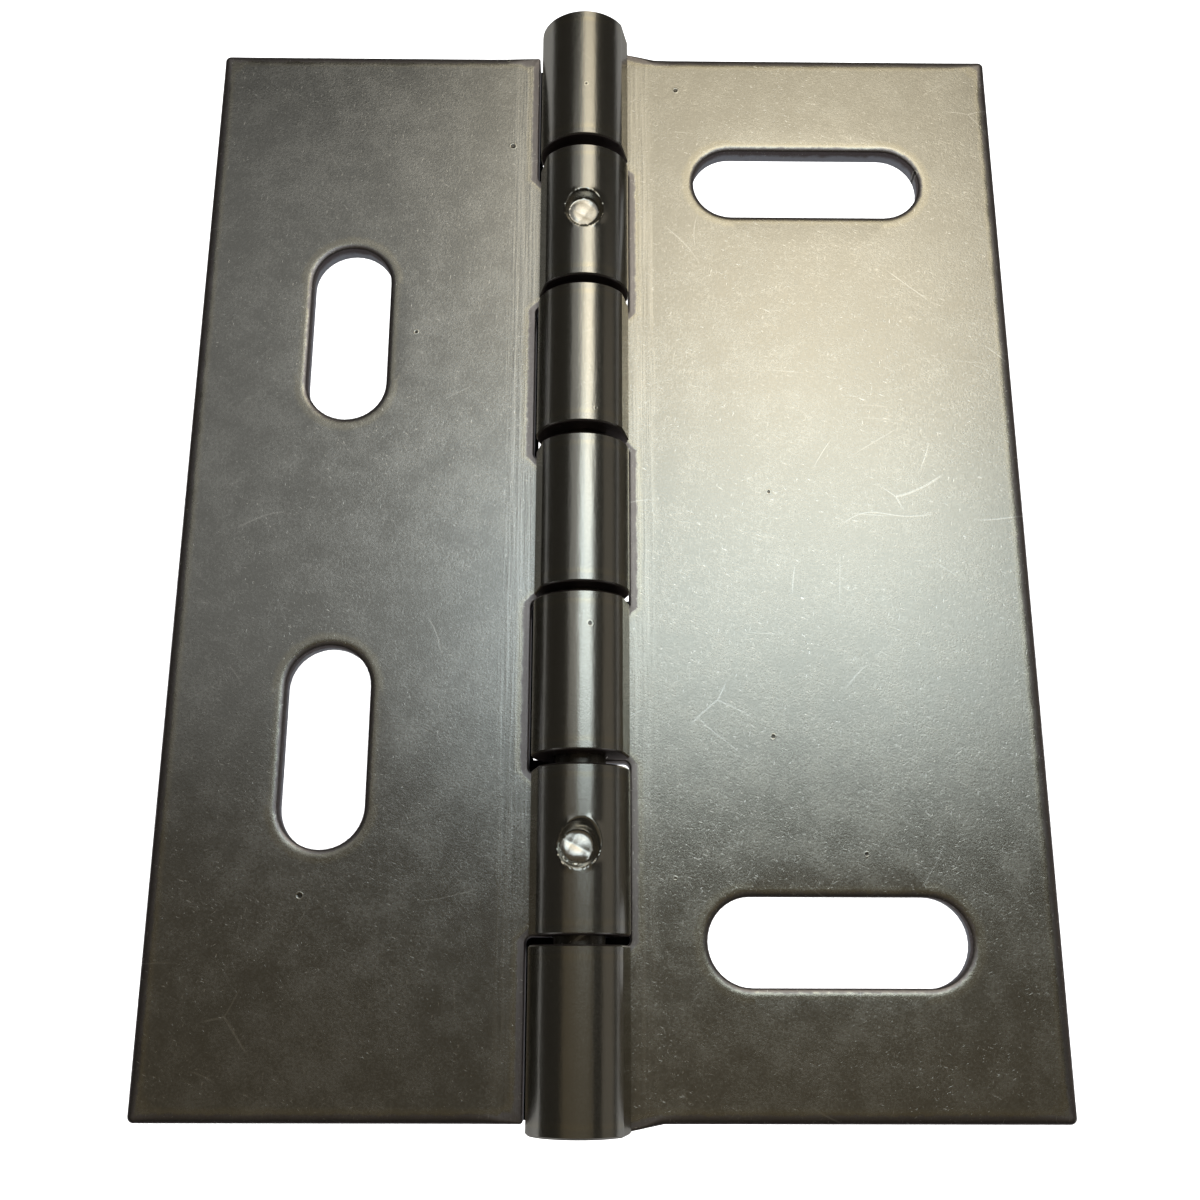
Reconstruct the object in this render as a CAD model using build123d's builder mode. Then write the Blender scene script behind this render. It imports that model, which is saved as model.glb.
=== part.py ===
from build123d import *
import os

# A flat butt hinge of bent sheet steel, with one narrow leaf and one wide leaf.
# Each leaf is a single blank whose tongues are rolled into knuckles, and a plain rod joins them.
# X runs across the open hinge towards the wide leaf, Y runs along the pin, Z points up.
# The origin is at mid-length on the back plane, straight below the pin axis. Sizes are in millimetres.

# Leaves
leaf_length = 150.0
narrow_width = 54.0
wide_width = 60.0
sheet = 3.0
corner_radius = 0.8
edge_roll = 0.4

# Pin
pin_diameter = 6.4
pin_clearance = 0.05
pin_recess = 0.6
pin_chamfer = 0.5

# Knuckles
knuckle_count = 7
knuckle_gap = 1.35
knuckle_chamfer = 0.25
barrel_overhang = 0.8
parting_offset = 0.45
narrow_end_play = 0.24
narrow_notch_clearance = 0.45
wide_notch_clearance = 0.05
notch_radius = 0.8
shoulder_run = 3.95

# End of the curl, in degrees past the top of the barrel
crease_turn = 57.0
flat_end_turn = 95.0
curl_end_turn = 112.0

# Slots for the fixing screws
slot_width = 11.0
narrow_slot_length = 26.5
narrow_slot_x = 33.0
narrow_slot_y = 29.4
wide_slot_length = 33.0
wide_slot_x = 32.4
wide_slot_y = 53.8

# Punched stakes that hold the pin in the narrow leaf
staked_knuckles = (2, 6)
dimple_mouth_radius = 2.9
dimple_floor_radius = 1.65
dimple_depth = 1.3
stake_root_radius = 1.7
stake_tip_radius = 1.0
stake_reach = 0.6
stake_clearance = 0.06

# Worked out from the sizes above
bore_radius = pin_diameter / 2 + pin_clearance
barrel_radius = bore_radius + sheet
barrel_top = 2 * barrel_radius
bore_top = barrel_radius + bore_radius
narrow_notch_edge = barrel_radius + narrow_notch_clearance
wide_notch_edge = barrel_radius + wide_notch_clearance
shoulder_edge = wide_notch_edge + shoulder_run
barrel_end = leaf_length / 2 + barrel_overhang
knuckle_pitch = 2 * barrel_end / knuckle_count
stake_root = bore_top + (sheet - dimple_depth) / 2
stake_tip = bore_top - stake_reach
narrow_knuckles = [n for n in range(1, knuckle_count + 1) if n % 2 == 0]
wide_knuckles = [n for n in range(1, knuckle_count + 1) if n % 2 == 1]


def parting(number):
    """Place along the pin of the gap below a knuckle. Knuckles are counted from the +Y end."""
    return barrel_end - number * knuckle_pitch + parting_offset


def knuckle_span(number, shift):
    """Both ends of a knuckle along the pin, the +Y end first."""
    first = barrel_end if number == 1 else parting(number - 1) - knuckle_gap / 2 + shift
    last = -barrel_end if number == knuckle_count else parting(number) + knuckle_gap / 2 + shift
    return first, last


def curl_section():
    """A knuckle seen along the pin, rolled from a leaf that lies on its +X side."""
    centre = (0, barrel_radius)
    with BuildSketch() as section:
        with BuildLine():
            back = CenterArc(centre, barrel_radius, -90, -180 - crease_turn)
            pressed = CenterArc(centre, barrel_radius, 90 - flat_end_turn, flat_end_turn - curl_end_turn)
            bore = CenterArc(centre, bore_radius, 90 - curl_end_turn, 180 + curl_end_turn)
            Line(back @ 1, pressed @ 0)
            Line(pressed @ 1, bore @ 0)
            Line(bore @ 1, back @ 0)
        make_face()
    return section.sketch


def leaf_blank(width, notch_edge, spans, slot_places, slot_length, slot_turn):
    """A leaf's flat blank on the +X side, with a tongue to the pin axis at each of its knuckles."""
    half = leaf_length / 2
    with BuildSketch() as blank:
        with Locations(((notch_edge + width) / 2, 0)):
            Rectangle(width - notch_edge, leaf_length)
        fillet(blank.vertices().group_by(Axis.X)[-1], corner_radius)
        for first, last in spans:
            with Locations((notch_edge / 2, (first + last) / 2)):
                Rectangle(notch_edge, first - last)
        for end in [y for span in spans for y in span if abs(y) > half]:
            edge = half if end > 0 else -half
            with BuildLine():
                Polyline((notch_edge, edge), (notch_edge, end), (shoulder_edge, edge), close=True)
            make_face()
        inner = blank.vertices().filter_by(lambda v: abs(v.X - notch_edge) < 0.01)
        fillet(inner.filter_by(lambda v: abs(v.Y) < half - 0.01), notch_radius)
        with Locations(*slot_places):
            SlotOverall(slot_length, slot_width, rotation=slot_turn, mode=Mode.SUBTRACT)
    return blank.sketch


def face_rims(leaf):
    """Upper edges of a leaf's plate that a punch or shear has rolled over: slot rims and free edges."""
    upper = leaf.faces().filter_by(Axis.Z).filter_by(lambda f: abs(f.center().Z - sheet) < 0.01)
    face = upper.sort_by(SortBy.AREA)[-1]
    rims = face.inner_wires().edges()
    free = face.outer_wire().edges().filter_by(lambda e: e.center().X > shoulder_edge)
    return rims + free


def knuckle_ends(leaf):
    """Outer round edges at the ends of a leaf's knuckles, above the plate."""
    arcs = leaf.edges().filter_by(GeomType.CIRCLE)
    return arcs.filter_by(lambda e: abs(e.radius - barrel_radius) < 0.01 and e.center().Z > sheet)


narrow_spans = [knuckle_span(n, -narrow_end_play) for n in narrow_knuckles]
wide_spans = [knuckle_span(n, 0) for n in wide_knuckles]
stake_places = [sum(knuckle_span(n, -narrow_end_play)) / 2 for n in staked_knuckles]
narrow_slots = [(narrow_slot_x, narrow_slot_y), (narrow_slot_x, -narrow_slot_y)]
wide_slots = [(wide_slot_x, wide_slot_y), (wide_slot_x, -wide_slot_y)]
pin_end = barrel_end - pin_recess
standing = (Align.CENTER, Align.CENTER, Align.MIN)

# Narrow leaf, made on the +X side and mirrored at the end
with BuildPart() as narrow_leaf:
    with BuildSketch():
        add(leaf_blank(narrow_width, narrow_notch_edge, narrow_spans, narrow_slots, narrow_slot_length, 90))
    extrude(amount=sheet)
    fillet(face_rims(narrow_leaf), edge_roll)
    for first, last in narrow_spans:
        with BuildSketch(Plane.XZ.offset(-first)):
            add(curl_section())
        extrude(amount=first - last)
    chamfer(knuckle_ends(narrow_leaf), knuckle_chamfer)
    # The punch leaves a mark on top of the knuckle and pushes a stake out of its bore
    with Locations(*[(0, y, barrel_top - dimple_depth) for y in stake_places]):
        Cone(dimple_floor_radius, dimple_mouth_radius, dimple_depth, align=standing, mode=Mode.SUBTRACT)
    with Locations(*[(0, y, stake_tip) for y in stake_places]):
        Cone(stake_tip_radius, stake_root_radius, stake_root - stake_tip, align=standing)
    mirror(about=Plane.YZ, mode=Mode.REPLACE)

# Wide leaf
with BuildPart() as wide_leaf:
    with BuildSketch():
        add(leaf_blank(wide_width, wide_notch_edge, wide_spans, wide_slots, wide_slot_length, 0))
    extrude(amount=sheet)
    fillet(face_rims(wide_leaf), edge_roll)
    for first, last in wide_spans:
        with BuildSketch(Plane.XZ.offset(-first)):
            add(curl_section())
        extrude(amount=first - last)
    chamfer(knuckle_ends(wide_leaf), knuckle_chamfer)

# Pin, with a socket that clears each stake
with BuildPart() as hinge_pin:
    with BuildSketch(Plane.XZ.offset(-pin_end)):
        with Locations((0, barrel_radius)):
            Circle(pin_diameter / 2)
    extrude(amount=2 * pin_end)
    chamfer(hinge_pin.edges().filter_by(GeomType.CIRCLE), pin_chamfer)
    with Locations(*[(0, y, stake_tip - stake_clearance) for y in stake_places]):
        Cone(
            stake_tip_radius + stake_clearance,
            stake_root_radius + stake_clearance,
            stake_root - stake_tip,
            align=standing,
            mode=Mode.SUBTRACT,
        )

narrow_leaf.part.label = "narrow_leaf"
wide_leaf.part.label = "wide_leaf"
hinge_pin.part.label = "hinge_pin"

os.makedirs("parts", exist_ok=True)
export_step(narrow_leaf.part, "parts/narrow_leaf.step")
export_step(wide_leaf.part, "parts/wide_leaf.step")
export_step(hinge_pin.part, "parts/hinge_pin.step")
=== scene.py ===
"""Looks of a flat butt hinge of bare bent steel: two slotted leaves, rolled knuckles and a staked pin."""
from __future__ import annotations

import logging
import math
from dataclasses import dataclass, field
from enum import Enum
from functools import cached_property
from typing import Sequence

import bmesh
import bpy
from mathutils import Matrix, Vector
from mathutils.geometry import delaunay_2d_cdt

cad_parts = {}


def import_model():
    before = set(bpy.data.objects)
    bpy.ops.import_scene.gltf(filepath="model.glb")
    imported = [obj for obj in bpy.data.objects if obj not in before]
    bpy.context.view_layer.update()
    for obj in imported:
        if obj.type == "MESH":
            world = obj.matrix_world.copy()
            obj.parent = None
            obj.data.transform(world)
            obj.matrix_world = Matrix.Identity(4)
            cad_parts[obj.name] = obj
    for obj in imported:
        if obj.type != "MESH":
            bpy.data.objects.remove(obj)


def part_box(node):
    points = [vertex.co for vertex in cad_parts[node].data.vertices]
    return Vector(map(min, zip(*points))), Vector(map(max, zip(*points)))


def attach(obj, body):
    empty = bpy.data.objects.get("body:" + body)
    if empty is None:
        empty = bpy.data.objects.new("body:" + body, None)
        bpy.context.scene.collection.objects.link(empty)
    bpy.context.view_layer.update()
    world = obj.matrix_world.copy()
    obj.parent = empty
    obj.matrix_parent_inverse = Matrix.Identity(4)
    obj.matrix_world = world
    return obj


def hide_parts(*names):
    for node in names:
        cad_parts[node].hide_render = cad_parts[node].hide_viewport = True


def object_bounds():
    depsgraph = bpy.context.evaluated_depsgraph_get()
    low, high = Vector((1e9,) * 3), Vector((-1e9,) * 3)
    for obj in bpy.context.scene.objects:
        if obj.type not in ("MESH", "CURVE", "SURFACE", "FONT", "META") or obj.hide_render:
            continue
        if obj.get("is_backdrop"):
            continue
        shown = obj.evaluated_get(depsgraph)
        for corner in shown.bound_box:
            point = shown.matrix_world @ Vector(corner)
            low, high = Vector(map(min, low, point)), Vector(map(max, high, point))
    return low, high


log = logging.getLogger("hinge")

MM = 0.001
FAR_INSET = 6.0
PHOTO_PIXELS = 1200
SENSOR = 36.0
WELD = 1e-7

Point2 = tuple[float, float]
Point3 = tuple[float, float, float]
Colour = tuple[float, float, float]
Feed = "float | Colour | bpy.types.NodeSocket"

WHITE = (1.0, 1.0, 1.0)


class Side(Enum):
    """The side of the pin that a leaf lies on, as the sign of its X."""

    NARROW = -1
    WIDE = 1


class Mark(Enum):
    """Numbers kept on the points of a mesh, which its finish reads.

    INSET is the distance from the nearest cut edge in millimetres, CUT is 1 on a cut edge, TURN grows
    from 0 to 1 round a knuckle's roll and PUNCH is 1 on the floor of a punch mark.
    """

    INSET = "inset"
    CUT = "cut"
    TURN = "turn"
    PUNCH = "punch"


class Tint(Enum):
    """Colours that all the steels share."""

    REFLECTION = (1.0, 0.98, 0.94)
    # Painted highlight along the crease at the end of a knuckle's curl.
    CREASE = (1.0, 1.0, 0.98)
    # Painted highlight line and painted shade band on the rolled-over sheared edges.
    EDGE_LINE = (0.72, 0.66, 0.5)
    EDGE_BAND = (0.32, 0.27, 0.31)
    # Lower sheared wall: the break zone, tinted pale blue as a painted reflection of the floor.
    BROKEN = (0.62, 0.64, 0.72)
    SCRATCH = (1.0, 0.99, 0.95)
    PUNCHED = (0.66, 0.64, 0.6)
    # Painted highlight on a pit's rim, and painted shade inside the pit.
    PIT_RIM = (0.75, 0.73, 0.66)
    PIT = (0.08, 0.075, 0.07)


@dataclass(frozen=True)
class Sizes:
    """Sizes that both leaves and the pin share, in millimetres.

    Args:
        sheet: Thickness of the sheet.
        barrel_radius: Outer radius of the knuckles, which is also the height of the pin axis.
        pin_radius: Radius of the pin.
        leaf_half: Half the length of a leaf's plate along the pin.
        barrel_half: Half the length of the barrel.
        pin_half: Half the length of the pin.
    """

    sheet: float
    barrel_radius: float
    pin_radius: float
    leaf_half: float
    barrel_half: float
    pin_half: float
    pin_clearance: float = 0.05
    knuckle_count: int = 7
    knuckle_gap: float = 1.35
    parting_offset: float = 0.45
    narrow_end_play: float = 0.24
    notch_radius: float = 0.8
    shoulder_edge: float = 10.25
    corner_radius: float = 0.8

    @property
    def bore_radius(self) -> float:
        """Radius of the knuckles' bore."""
        return self.pin_radius + self.pin_clearance

    def parting(self, number: int) -> float:
        """Place along the pin of the gap below a knuckle, counted from the +Y end."""
        pitch = 2 * self.barrel_half / self.knuckle_count
        return self.barrel_half - number * pitch + self.parting_offset

    def knuckle_span(self, number: int) -> Point2:
        """Both ends of a knuckle along the pin.

        Args:
            number: The knuckle, counted from the +Y end. Even ones belong to the narrow leaf.

        Returns:
            The +Y end and the -Y end, in millimetres.
        """
        shift = 0.0 if number % 2 else -self.narrow_end_play
        half_gap = self.knuckle_gap / 2
        first = self.barrel_half if number == 1 else self.parting(number - 1) - half_gap + shift
        last = -self.barrel_half if number == self.knuckle_count else self.parting(number) + half_gap + shift
        return first, last

    @classmethod
    def from_frame(cls) -> Sizes:
        """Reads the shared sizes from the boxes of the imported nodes.

        Returns:
            The sizes, in millimetres.
        """
        narrow, wide, pin = (_box_mm(name) for name in ("narrow_leaf", "wide_leaf", "hinge_pin"))
        pin_radius = (pin[1][2] - pin[0][2]) / 2
        barrel_radius = wide[1][2] / 2
        return cls(
            sheet=barrel_radius - pin_radius - cls.pin_clearance,
            barrel_radius=barrel_radius,
            pin_radius=pin_radius,
            leaf_half=(narrow[1][1] - narrow[0][1]) / 2,
            barrel_half=(wide[1][1] - wide[0][1]) / 2,
            pin_half=(pin[1][1] - pin[0][1]) / 2,
        )


def _box_mm(node: str) -> tuple[Vector, Vector]:
    """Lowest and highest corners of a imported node, in millimetres."""
    low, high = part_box(node)
    return Vector(low) / MM, Vector(high) / MM


@dataclass(frozen=True)
class Curl:
    """How a tongue is rolled round the pin, in degrees past the top of the barrel."""

    crease: float = 57.0
    flat_end: float = 95.0
    end: float = 112.0

    def outer_radius(self, turn: float, radius: float) -> float:
        """Outer radius at a turn from the barrel's underside.

        Args:
            turn: Degrees from the underside, over the back, towards the leaf.
            radius: Radius of the round stretch.

        Returns:
            The radius, which is less where the end of the curl was pressed flatter.
        """
        start, stop = 180 + self.crease, 180 + self.flat_end
        if not start < turn < stop:
            return radius
        middle, half = (start + stop) / 2, (stop - start) / 2
        return radius * math.cos(math.radians(half)) / math.cos(math.radians(turn - middle))


@dataclass(frozen=True)
class Punch:
    """One punch mark and the stake below it, in millimetres.

    Args:
        number: The knuckle that it is on.
        stretch: How much longer the mark is along the pin than across.
        lean: How far the mark leans away from its own leaf's plate towards the -Y end.
        shift: How far the mark sits from the middle of its knuckle, towards the +Y end.
        crumpled: How rough its floor is.
        floor_shift: How far its floor sits from the middle of its mouth, across and along the pin.
        floor_slope: How steeply its floor leans, across and along the pin.
        seed: Picks the pattern of its floor.
    """

    number: int
    stretch: float
    lean: float
    shift: float
    crumpled: float
    floor_shift: Point2
    floor_slope: Point2
    seed: float
    mouth: float = 2.85
    floor: float = 2.05
    depth: float = 1.3
    lip: float = 0.16
    lip_width: float = 0.5
    stake_root: float = 1.7
    stake_tip: float = 1.0
    stake_reach: float = 0.6
    stake_height: float = 1.45
    clearance: float = 0.06
    bend: float = 0.06
    rounding: float = 0.25

    @staticmethod
    def reaches(turn: float) -> bool:
        """True for a turn near enough to the top of the barrel for the punch to change it."""
        return 120 < turn < 240

    def away(self, x: float, y: float) -> float:
        """Distance from the middle of the mark, measured so that its mouth is round."""
        below = max(0.0, -y)
        return math.hypot(x + self.lean * y - self.bend * self.lean * below * below, y / self.stretch)

    def sunk(self, x: float, y: float) -> float:
        """Height of the mark's cone and floor, measured from the top of the barrel.

        Args:
            x: Across the pin.
            y: Along the pin, from the middle of the mark.

        Returns:
            The height, which is below zero.
        """
        share = min(1.0, max(0.0, (self.mouth - self.away(x, y)) / (self.mouth - self.floor)))
        away = self.away(x - share * self.floor_shift[0], y - share * self.floor_shift[1])
        if away < self.floor:
            lean = self.floor_slope[0] * x + self.floor_slope[1] * y
            return -self.depth + (self.crumple(x, y) + lean) * (1 - (away / self.floor) ** 4)
        return -self.depth * (1 - ((away - self.floor) / (self.mouth - self.floor)) ** 1.25)

    def raised(self, x: float, y: float) -> float:
        """Height of the lip that the punch pushed up beside the mark."""
        away = self.away(x, y) - self.mouth + self.rounding
        return self.lip * math.exp(-((away / self.lip_width) ** 2)) * ease(abs(x), 0.5, 1.6)

    def crumple(self, x: float, y: float) -> float:
        """Facets that a worn punch leaves on the floor of the mark.

        Args:
            x: Across the pin.
            y: Along the pin, from the middle of the mark.

        Returns:
            Their height.
        """
        first = abs(math.sin(1.1 * x + 0.7 * y + self.seed)) - 0.5
        second = abs(math.sin(1.5 * y - 0.8 * x + 2 * self.seed)) - 0.5
        return self.crumpled * (0.2 * first + 0.17 * second)

    def mark(self, x: float, y: float) -> float:
        """1 on the floor of the mark, falling to 0 at its mouth."""
        return 1 - ease(self.away(x, y - self.shift), self.floor * 0.9, self.floor * 1.15)

    def cone(self, x: float, y: float, sizes: Sizes, gap: float) -> float:
        """Height of the stake's cone, or of the socket that clears it by a gap.

        Args:
            x: Across the pin from the stake's middle.
            y: Along the pin from the stake's middle.
            sizes: Sizes that the whole hinge shares.
            gap: Clearance round the cone.

        Returns:
            The cone's height at that place.
        """
        tip = sizes.barrel_radius + sizes.bore_radius - self.stake_reach - gap
        rise = self.stake_height / (self.stake_root - self.stake_tip)
        return tip + max(0.0, math.hypot(x, y) - self.stake_tip - gap) * rise

    def press(self, x: float, y: float, z: float, inside: bool, sizes: Sizes) -> float:
        """Height of a point of the knuckle once the punch has struck.

        Args:
            x: Across the pin.
            y: Along the pin, from the middle of the knuckle.
            z: The point's height before.
            inside: True for the bore.
            sizes: Sizes that the whole hinge shares.

        Returns:
            The new height.
        """
        if inside:
            return min(z, self.cone(x, y, sizes, 0.0))
        top = 2 * sizes.barrel_radius
        along = y - self.shift
        return min(top, soft_min(z + self.raised(x, along), top + self.sunk(x, along), self.rounding))


@dataclass(frozen=True)
class Slot:
    """A slot through a leaf, in millimetres from the pin axis and mid-length."""

    x: float
    y: float
    length: float
    along_pin: bool
    width: float = 11.0

    def outline(self, steps: int = 20) -> list[Point2]:
        """Its outline, clockwise, so that the sheet lies on the left.

        Args:
            steps: Steps round each end.

        Returns:
            The outline's points.
        """
        radius, straight = self.width / 2, (self.length - self.width) / 2
        points = []
        for end in (1, -1):
            for step in range(steps + 1):
                angle = math.radians(90 - 180 * step / steps) + (0.0 if end > 0 else math.pi)
                points.append((end * straight + radius * math.cos(angle), radius * math.sin(angle)))
        if self.along_pin:
            points = [(-v, u) for u, v in points]
        return [(self.x + u, self.y + v) for u, v in points]

    def gap(self, x: float, y: float) -> float:
        """Distance of a place from the slot's rim; below zero inside the slot.

        Args:
            x: Distance from the pin axis.
            y: Place along the pin.

        Returns:
            The distance.
        """
        along, across = (y - self.y, x - self.x) if self.along_pin else (x - self.x, y - self.y)
        over = max(0.0, abs(along) - (self.length - self.width) / 2)
        return math.hypot(over, across) - self.width / 2


class Net:
    """Short ways to add nodes to a tree and to feed them."""

    def __init__(self, tree: bpy.types.NodeTree) -> None:
        """Keeps the tree that nodes are added to."""
        self.tree = tree

    def node(
        self, kind: str, feeds: dict[str | int, Feed] | None = None, **settings: object
    ) -> bpy.types.Node:
        """Adds a node, sets its properties and feeds its inputs.

        Args:
            kind: The node's type.
            feeds: What its inputs are fed, by name or position.
            settings: Its properties by name.

        Returns:
            The node.
        """
        made = self.tree.nodes.new(kind)
        for name, value in settings.items():
            setattr(made, name, value)
        for key, value in (feeds or {}).items():
            self.feed(made.inputs[key], value)
        return made

    def feed(self, socket: bpy.types.NodeSocket, value: Feed) -> None:
        """Joins a socket to another, or sets its number or colour.

        Args:
            socket: The socket that is fed.
            value: A socket, a number or a colour.
        """
        if isinstance(value, bpy.types.NodeSocket):
            self.tree.links.new(value, socket)
        elif socket.type == "RGBA":
            socket.default_value = (*value, 1.0)
        else:
            socket.default_value = value

    def math(self, operation: str, *values: Feed) -> bpy.types.NodeSocket:
        """Adds a calculation on its values, in order, and gives the result."""
        return self.node("ShaderNodeMath", dict(enumerate(values)), operation=operation).outputs[0]

    def total(self, *parts: tuple[Feed, float]) -> bpy.types.NodeSocket:
        """Adds values up, each multiplied by its own weight.

        Args:
            parts: Values with their weights.

        Returns:
            The total.
        """
        found: Feed = 0.0
        for value, weight in parts:
            found = self.math("MULTIPLY_ADD", value, weight, found)
        return found

    def mix(self, factor: Feed, first: Feed, second: Feed) -> bpy.types.NodeSocket:
        """Mixes two colours; the factor is the second one's share."""
        feeds = {0: factor, 6: first, 7: second}
        return self.node("ShaderNodeMix", feeds, data_type="RGBA", clamp_factor=True).outputs[2]

    def blend_values(self, factor: Feed, first: Feed, second: Feed) -> bpy.types.NodeSocket:
        """Mixes two numbers; the factor is the second one's share."""
        feeds = {0: factor, 2: first, 3: second}
        return self.node("ShaderNodeMix", feeds, data_type="FLOAT", clamp_factor=True).outputs[0]

    def noise(
        self, place: Feed, scale: Feed, detail: float = 3.0, roughness: float = 0.55, distortion: float = 0.0
    ) -> bpy.types.NodeSocket:
        """Adds a noise with a number of grains to a metre, and gives its value."""
        feeds = {"Vector": place, "Scale": scale, "Detail": detail, "Roughness": roughness}
        return self.node("ShaderNodeTexNoise", {**feeds, "Distortion": distortion}).outputs[0]

    def slope(
        self, value: Feed, low: Feed, high: Feed, start: float = 0.0, stop: float = 1.0
    ) -> bpy.types.NodeSocket:
        """Turns a value between two limits into a smooth rise or fall from start to stop."""
        feeds = dict(enumerate((value, low, high, start, stop)))
        return self.node("ShaderNodeMapRange", feeds, interpolation_type="SMOOTHSTEP").outputs[0]

    def turned(
        self, place: Feed, degrees: float, stretch: Point3, shift: float = 0.0
    ) -> bpy.types.NodeSocket:
        """Turns a place about the height axis, and then stretches it.

        Args:
            place: The place.
            degrees: How far it is turned.
            stretch: Factors along X, Y and Z.
            shift: Moves the pattern aside, in metres.

        Returns:
            The new place.
        """
        angles = (0.0, 0.0, math.radians(degrees))
        feeds = {"Vector": place, "Location": (shift, 0.7 * shift, 0.0), "Rotation": angles}
        spun = self.node("ShaderNodeMapping", feeds, vector_type="POINT").outputs[0]
        return self.node("ShaderNodeVectorMath", {0: spun, 1: stretch}, operation="MULTIPLY").outputs[0]

    def mark(self, mark: Mark) -> bpy.types.NodeSocket:
        """Reads a number kept on the mesh."""
        return self.node("ShaderNodeAttribute", attribute_name=mark.value).outputs["Fac"]

    def effect(self, effect: Effect, place: Feed, **values: Feed) -> bpy.types.NodeOutputs:
        """Adds a shared effect that reads its pattern at a place, and gives its outputs."""
        return self.node("ShaderNodeGroup", {"Place": place, **values}, node_tree=effect.tree()).outputs


class Effect:
    """A pattern that several steels share, kept as one node group that is built once."""

    name = ""
    inputs: dict[str, float] = {}
    outputs: tuple[str, ...] = ()

    def tree(self) -> bpy.types.NodeTree:
        """Gives the node group, and builds it the first time.

        Returns:
            The node group.
        """
        known = bpy.data.node_groups.get(self.name)
        if known is not None:
            return known
        tree = bpy.data.node_groups.new(self.name, "ShaderNodeTree")
        tree.interface.new_socket("Place", in_out="INPUT", socket_type="NodeSocketVector")
        for name, value in self.inputs.items():
            socket = tree.interface.new_socket(name, in_out="INPUT", socket_type="NodeSocketFloat")
            socket.default_value = value
        for name in self.outputs:
            tree.interface.new_socket(name, in_out="OUTPUT", socket_type="NodeSocketFloat")
        net = Net(tree)
        sink = net.node("NodeGroupOutput")
        source = net.node("NodeGroupInput").outputs
        for name, value in self.wire(net, source).items():
            net.feed(sink.inputs[name], value)
        return tree

    def wire(self, net: Net, source: bpy.types.NodeOutputs) -> dict[str, bpy.types.NodeSocket]:
        """Builds the pattern inside the group.

        Args:
            net: The group's tree.
            source: The group's inputs.

        Returns:
            What each output gives.
        """
        raise NotImplementedError


class MillSkin(Effect):
    """Cloudy patches, blotches and fine grain of rolled sheet."""

    name = "mill_skin"
    inputs = {"Blotch size": 0.004, "Grain size": 0.00024}
    outputs = ("Cloud", "Blotch", "Grain")

    def wire(self, net: Net, source: bpy.types.NodeOutputs) -> dict[str, bpy.types.NodeSocket]:
        """Three noises, from coarse to fine.

        Args:
            net: The group's tree.
            source: The group's inputs.

        Returns:
            What each output gives.
        """
        place = source["Place"]
        blotch = net.noise(place, net.math("DIVIDE", 1.0, source["Blotch size"]), 5.0, 0.62)
        grain = net.noise(place, net.math("DIVIDE", 1.0, source["Grain size"]), 2.0, 0.7)
        return {
            "Cloud": net.slope(net.noise(place, 38.0, 3.0, 0.5, 0.4), 0.3, 0.7),
            "Blotch": net.slope(blotch, 0.25, 0.75),
            "Grain": net.slope(grain, 0.25, 0.75),
        }


class Nicks(Effect):
    """Short bright nicks that lie every way, and the fuzz of much finer ones between them."""

    name = "nicks"
    inputs = {"Amount": 0.5}
    outputs = ("Mask", "Fuzz")

    def wire(self, net: Net, source: bpy.types.NodeOutputs) -> dict[str, bpy.types.NodeSocket]:
        """Stretched noises at several turns, cut off so that only their peaks stay.

        Args:
            net: The group's tree.
            source: The group's inputs.

        Returns:
            What each output gives.
        """
        floor = net.math("MULTIPLY_ADD", source["Amount"], -0.16, 0.80)
        ceiling = net.math("ADD", floor, 0.05)
        found: Feed = 0.0
        fuzz: Feed = 0.0
        for turn, shift, fine in ((8, 0.0, 3700), (63, 0.31, 5900), (112, 0.57, 4100), (151, 0.83, 6400)):
            noise = net.noise(net.turned(source["Place"], turn, (1.0, 0.25, 1.0), shift), fine, 1.0, 0.5)
            found = net.math("MAXIMUM", found, net.slope(noise, floor, ceiling))
            fuzz = net.math("MAXIMUM", fuzz, net.slope(noise, 0.54, 0.74))
        patches = net.slope(net.noise(source["Place"], 55.0, 2.0), 0.38, 0.62, 0.35, 1.0)
        clouds = net.slope(net.noise(source["Place"], 130.0, 3.0), 0.35, 0.65, 0.45, 1.0)
        return {"Mask": net.math("MULTIPLY", found, patches), "Fuzz": net.math("MULTIPLY", fuzz, clouds)}


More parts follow.
